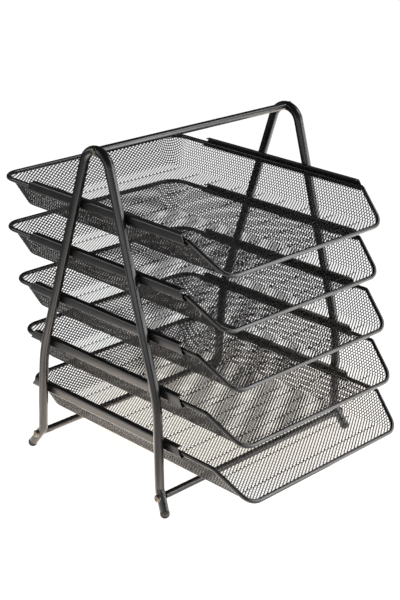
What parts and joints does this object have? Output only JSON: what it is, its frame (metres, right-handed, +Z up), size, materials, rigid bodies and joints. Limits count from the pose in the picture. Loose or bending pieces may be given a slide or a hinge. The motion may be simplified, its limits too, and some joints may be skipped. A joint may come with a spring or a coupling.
{
  "type": "desktop document rack",
  "caption": "Tiered desk rack: bent-tube side frames with a top bar and feet, channel rails and sliding wire-rimmed mesh trays for letters and sheets.",
  "frame": {"origin": "middle of the rack's footprint at rest, at the desk's level", "axes": "+X to the right seen from the front, -Y towards the front where the trays slide out, +Z up"},
  "size_m": [0.3126, 0.3864, 0.3838],
  "materials": {
    "powder_coated_tube": "satin black powder coat",
    "powder_coated_sheet": "satin black powder coat",
    "powder_coated_mesh": "satin black powder coat on expanded metal",
    "screw_steel": "zinc plated",
    "foot_rubber": "matte"
  },
  "bodies": {
    "rack": {"side_frame_left": "powder_coated_tube", "side_frame_right": "powder_coated_tube", "handle_bar": "powder_coated_tube", "crossbar_front": "powder_coated_tube", "crossbar_rear": "powder_coated_tube", "rail_left_1": "powder_coated_sheet", "rail_left_2": "powder_coated_sheet", "rail_left_3": "powder_coated_sheet", "rail_left_4": "powder_coated_sheet", "rail_left_5": "powder_coated_sheet", "rail_right_1": "powder_coated_sheet", "rail_right_2": "powder_coated_sheet", "rail_right_3": "powder_coated_sheet", "rail_right_4": "powder_coated_sheet", "rail_right_5": "powder_coated_sheet", "screw_top_left": "screw_steel", "screw_front_left": "screw_steel", "screw_rear_left": "screw_steel", "screw_top_right": "screw_steel", "screw_front_right": "screw_steel", "screw_rear_right": "screw_steel", "foot_cap_front_left": "foot_rubber", "foot_cap_rear_left": "foot_rubber", "foot_cap_front_right": "foot_rubber", "foot_cap_rear_right": "foot_rubber"},
    "tray_1": {"tray_rim_1": "powder_coated_tube", "tray_pan_1": "powder_coated_mesh"},
    "tray_2": {"tray_rim_2": "powder_coated_tube", "tray_pan_2": "powder_coated_mesh"},
    "tray_3": {"tray_rim_3": "powder_coated_tube", "tray_pan_3": "powder_coated_mesh"},
    "tray_4": {"tray_rim_4": "powder_coated_tube", "tray_pan_4": "powder_coated_mesh"},
    "tray_5": {"tray_rim_5": "powder_coated_tube", "tray_pan_5": "powder_coated_mesh"}
  },
  "joints": [
    {"name": "tray_1_slide", "type": "slide", "parent": "rack", "child": "tray_1", "axis": [0, -1, 0], "range_m": [0, 0.16]},
    {"name": "tray_2_slide", "type": "slide", "parent": "rack", "child": "tray_2", "axis": [0, -1, 0], "range_m": [-0.0005, 0.1595]},
    {"name": "tray_3_slide", "type": "slide", "parent": "rack", "child": "tray_3", "axis": [0, -1, 0], "range_m": [-0.0165, 0.1435]},
    {"name": "tray_4_slide", "type": "slide", "parent": "rack", "child": "tray_4", "axis": [0, -1, 0], "range_m": [-0.0295, 0.1305]},
    {"name": "tray_5_slide", "type": "slide", "parent": "rack", "child": "tray_5", "axis": [0, -1, 0], "range_m": [-0.0415, 0.1185]}
  ]
}
